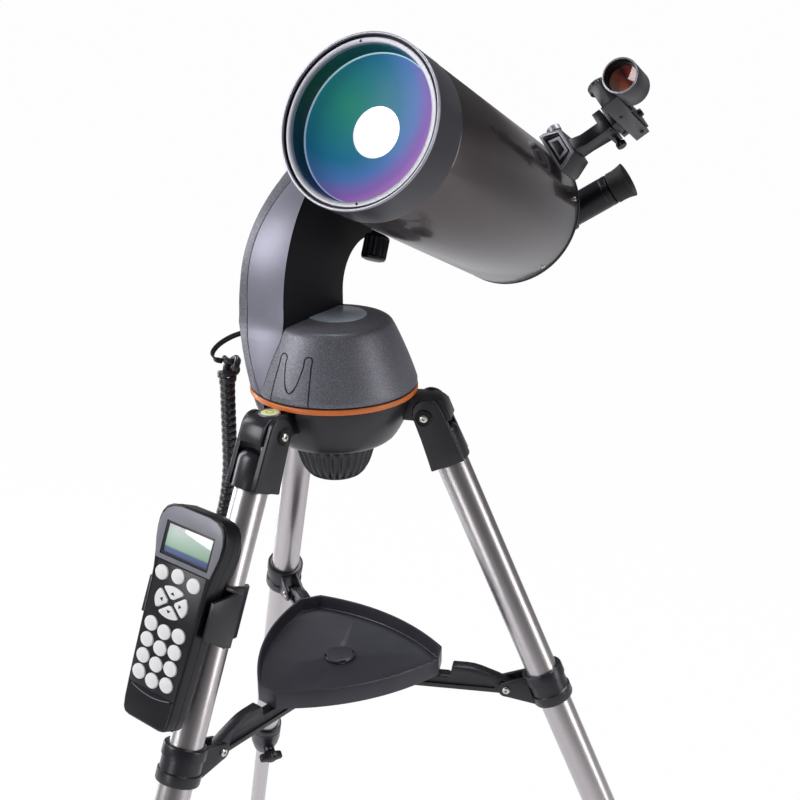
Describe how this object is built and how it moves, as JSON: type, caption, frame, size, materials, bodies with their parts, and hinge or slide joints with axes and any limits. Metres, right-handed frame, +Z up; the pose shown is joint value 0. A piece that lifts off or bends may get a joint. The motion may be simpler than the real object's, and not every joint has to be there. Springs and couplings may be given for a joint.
{
  "type": "computer-driven maksutov telescope on a tripod",
  "caption": "Short closed-tube reflecting telescope with a curved front lens, on a single-arm motor-driven mount, folding steel tripod and tray.",
  "frame": {"origin": "floor level under the centre of the object's bounding box", "axes": "+Z up; the telescope points to -Y and up by 23.1 degrees; its arm stands on the -X side"},
  "size_m": [0.8205, 0.7736, 1.2105],
  "materials": {
    "tube_paint": "gloss",
    "satin_charcoal": "satin",
    "grey_casing": "satin",
    "black_plastic": "satin",
    "rubber": "matte",
    "bright_steel": "polished",
    "brass": "satin",
    "orange_trim": "satin",
    "coated_glass": "polished",
    "mirror": "polished",
    "keys": "matte",
    "vial": "gloss"
  },
  "bodies": {
    "tripod_head": {"tripod_head": "black_plastic", "accent_ring": "orange_trim", "azimuth_gear": "brass", "bubble_level": "vial"},
    "drive_arm": {"arm_shell": "grey_casing", "arm_cover": "grey_casing", "dome_housing": "grey_casing", "cord_lead": "black_plastic"},
    "optical_tube": {"tube_shell": "tube_paint", "front_cell": "satin_charcoal", "corrector_lens": "coated_glass", "baffle_tube": "black_plastic", "rear_cell": "satin_charcoal", "visual_back": "black_plastic", "dovetail_bar": "satin_charcoal", "saddle_plate": "satin_charcoal", "altitude_gear": "brass", "finder_shoe": "black_plastic", "finder_base": "black_plastic", "finder_body": "black_plastic", "finder_hood": "black_plastic"},
    "mirror": {"primary_mirror": "mirror"},
    "focus_knob": {"focus_knob": "black_plastic"},
    "diagonal": {"star_diagonal": "black_plastic"},
    "eyepiece": {"eyepiece": "black_plastic", "eyecup": "rubber"},
    "clamp_knob": {"clamp_knob": "black_plastic"},
    "finder_dial": {"finder_dial": "black_plastic"},
    "altitude_worm": {"altitude_worm": "bright_steel"},
    "azimuth_worm": {"azimuth_worm": "bright_steel"},
    "battery_door": {"battery_door": "grey_casing"},
    "mount_knob": {"mount_knob": "black_plastic"},
    "tray": {"brace_hub": "black_plastic", "tray": "black_plastic"},
    "tray_knob": {"tray_knob": "black_plastic"},
    "keypad": {"keypad": "keys"},
    "leg_1": {"leg_head_1": "black_plastic", "leg_tube_1": "bright_steel", "brace_clamp_1": "black_plastic", "lock_collar_1": "black_plastic", "control_holder": "black_plastic", "hand_control": "black_plastic", "cord_coil": "black_plastic"},
    "lower_1": {"leg_lower_1": "bright_steel"},
    "lock_knob_1": {"lock_knob_1": "black_plastic"},
    "brace_1": {"brace_arm_1": "black_plastic"},
    "leg_2": {"leg_head_2": "black_plastic", "leg_tube_2": "bright_steel", "brace_clamp_2": "black_plastic", "lock_collar_2": "black_plastic"},
    "lower_2": {"leg_lower_2": "bright_steel"},
    "lock_knob_2": {"lock_knob_2": "black_plastic"},
    "brace_2": {"brace_arm_2": "black_plastic"},
    "leg_3": {"leg_head_3": "black_plastic", "leg_tube_3": "bright_steel", "brace_clamp_3": "black_plastic", "lock_collar_3": "black_plastic"},
    "lower_3": {"leg_lower_3": "bright_steel"},
    "lock_knob_3": {"lock_knob_3": "black_plastic"},
    "brace_3": {"brace_arm_3": "black_plastic"}
  },
  "joints": [
    {"name": "azimuth_turn", "type": "hinge", "parent": "tripod_head", "child": "drive_arm", "pos_m": [-0.03326, 0.08485, 0.88], "axis": [0, 0, 1], "range_deg": [-180, 180], "deforming": ["cord_lead"]},
    {"name": "altitude_tilt", "type": "hinge", "parent": "drive_arm", "child": "optical_tube", "pos_m": [0.05754, 0.17485, 1.0656], "axis": [-1, 0, 0], "range_deg": [-34, 57]},
    {"name": "altitude_worm_turn", "type": "hinge", "parent": "drive_arm", "child": "altitude_worm", "pos_m": [-0.06576, 0.17485, 1.0254], "axis": [0, 1, 0], "range_deg": [-1750, 1050]},
    {"name": "azimuth_worm_turn", "type": "hinge", "parent": "drive_arm", "child": "azimuth_worm", "pos_m": [0.01894, 0.08485, 0.8855], "axis": [0, 1, 0], "range_deg": [-5400, 5400]},
    {"name": "focus_turn", "type": "hinge", "parent": "optical_tube", "child": "focus_knob", "pos_m": [0.08754, 0.27267, 0.98908], "axis": [0, -0.9198, 0.3923], "range_deg": [-1080, 1080]},
    {"name": "mirror_slide", "type": "slide", "parent": "optical_tube", "child": "mirror", "axis": [0, -0.9198, 0.3923], "range_m": [-0.003, 0.003]},
    {"name": "diagonal_turn", "type": "hinge", "parent": "optical_tube", "child": "diagonal", "pos_m": [0.05754, 0.34447, 0.99325], "axis": [0, -0.9198, 0.3923], "range_deg": [-60, 60]},
    {"name": "eyepiece_slide", "type": "slide", "parent": "diagonal", "child": "eyepiece", "axis": [0.809, 0.2306, 0.5407], "range_m": [0, 0.034]},
    {"name": "clamp_knob_turn", "type": "hinge", "parent": "optical_tube", "child": "clamp_knob", "pos_m": [-0.02546, 0.15131, 1.01041], "axis": [0, 0.3923, 0.9198], "range_deg": [0, 720]},
    {"name": "finder_dial_turn", "type": "hinge", "parent": "optical_tube", "child": "finder_dial", "pos_m": [0.15341, 0.25254, 1.15343], "axis": [0.682, -0.2869, -0.6727], "range_deg": [0, 300]},
    {"name": "battery_door_swing", "type": "hinge", "parent": "drive_arm", "child": "battery_door", "pos_m": [-0.03026, 0.00425, 0.8837], "axis": [1, 0, 0], "range_deg": [0, 60]},
    {"name": "mount_knob_turn", "type": "hinge", "parent": "tripod_head", "child": "mount_knob", "pos_m": [-0.03326, 0.08485, 0.796], "axis": [0, 0, 1], "range_deg": [0, 1080]},
    {"name": "leg_1_fold", "type": "hinge", "parent": "tripod_head", "child": "leg_1", "pos_m": [-0.04613, -0.00402, 0.858], "axis": [0.9897, -0.1433, 0], "range_deg": [0, 9.74]},
    {"name": "leg_1_extend", "type": "slide", "parent": "leg_1", "child": "lower_1", "axis": [-0.0564, -0.3894, -0.9193], "range_m": [-0.125, 0.075]},
    {"name": "lock_knob_1_turn", "type": "hinge", "parent": "leg_1", "child": "lock_knob_1", "pos_m": [-0.08045, -0.241, 0.22735], "axis": [-0.1318, -0.9099, 0.3935], "range_deg": [0, 360]},
    {"name": "brace_1_pivot", "type": "hinge", "parent": "leg_1", "child": "brace_1", "pos_m": [-0.0584, -0.08874, 0.5632], "axis": [0.9897, -0.1433, 0], "range_deg": [0, 42]},
    {"name": "leg_2_fold", "type": "hinge", "parent": "tripod_head", "child": "leg_2", "pos_m": [0.05014, 0.11814, 0.858], "axis": [-0.3707, 0.9287, 0], "range_deg": [0, 9.74]},
    {"name": "leg_2_extend", "type": "slide", "parent": "leg_2", "child": "lower_2", "axis": [0.3654, 0.1459, -0.9193], "range_m": [-0.125, 0.075]},
    {"name": "lock_knob_2_turn", "type": "hinge", "parent": "leg_2", "child": "lock_knob_2", "pos_m": [0.27253, 0.20691, 0.22735], "axis": [0.8538, 0.3408, 0.3935], "range_deg": [0, 360]},
    {"name": "brace_2_pivot", "type": "hinge", "parent": "leg_2", "child": "brace_2", "pos_m": [0.12964, 0.14987, 0.5632], "axis": [-0.3707, 0.9287, 0], "range_deg": [0, 42]},
    {"name": "leg_3_fold", "type": "hinge", "parent": "tripod_head", "child": "leg_3", "pos_m": [-0.10379, 0.14043, 0.858], "axis": [-0.619, -0.7854, 0], "range_deg": [0, 9.74]},
    {"name": "leg_3_extend", "type": "slide", "parent": "leg_3", "child": "lower_3", "axis": [-0.309, 0.2435, -0.9193], "range_m": [-0.125, 0.075]},
    {"name": "lock_knob_3_turn", "type": "hinge", "parent": "leg_3", "child": "lock_knob_3", "pos_m": [-0.29186, 0.28864, 0.22735], "axis": [-0.7221, 0.569, 0.3935], "range_deg": [0, 360]},
    {"name": "brace_3_pivot", "type": "hinge", "parent": "leg_3", "child": "brace_3", "pos_m": [-0.17102, 0.19342, 0.5632], "axis": [-0.619, -0.7854, 0], "range_deg": [0, 42]},
    {"name": "tray_lift", "type": "slide", "parent": "tripod_head", "child": "tray", "axis": [0, 0, 1], "range_m": [0, 0.098]},
    {"name": "tray_knob_turn", "type": "hinge", "parent": "tray", "child": "tray_knob", "pos_m": [-0.03326, 0.08485, 0.581], "axis": [0, 0, 1], "range_deg": [0, 720]},
    {"name": "keypad_press", "type": "slide", "parent": "leg_1", "child": "keypad", "axis": [0.1318, 0.9099, -0.3935], "range_m": [0, 0.001], "stiffness_N_per_m": 800}
  ],
  "couplings": [
    {"joint": "altitude_worm_turn", "follows": "altitude_tilt", "ratio": -30},
    {"joint": "azimuth_worm_turn", "follows": "azimuth_turn", "ratio": 30},
    {"joint": "focus_turn", "follows": "mirror_slide", "rad_per_m": 6280},
    {"joint": "brace_1_pivot", "follows": "leg_1_fold", "ratio": 4.29},
    {"joint": "leg_2_fold", "follows": "leg_1_fold", "ratio": 1},
    {"joint": "brace_2_pivot", "follows": "leg_1_fold", "ratio": 4.29},
    {"joint": "leg_3_fold", "follows": "leg_1_fold", "ratio": 1},
    {"joint": "brace_3_pivot", "follows": "leg_1_fold", "ratio": 4.29},
    {"joint": "tray_lift", "follows": "leg_1_fold", "m_per_rad": 0.57}
  ]
}
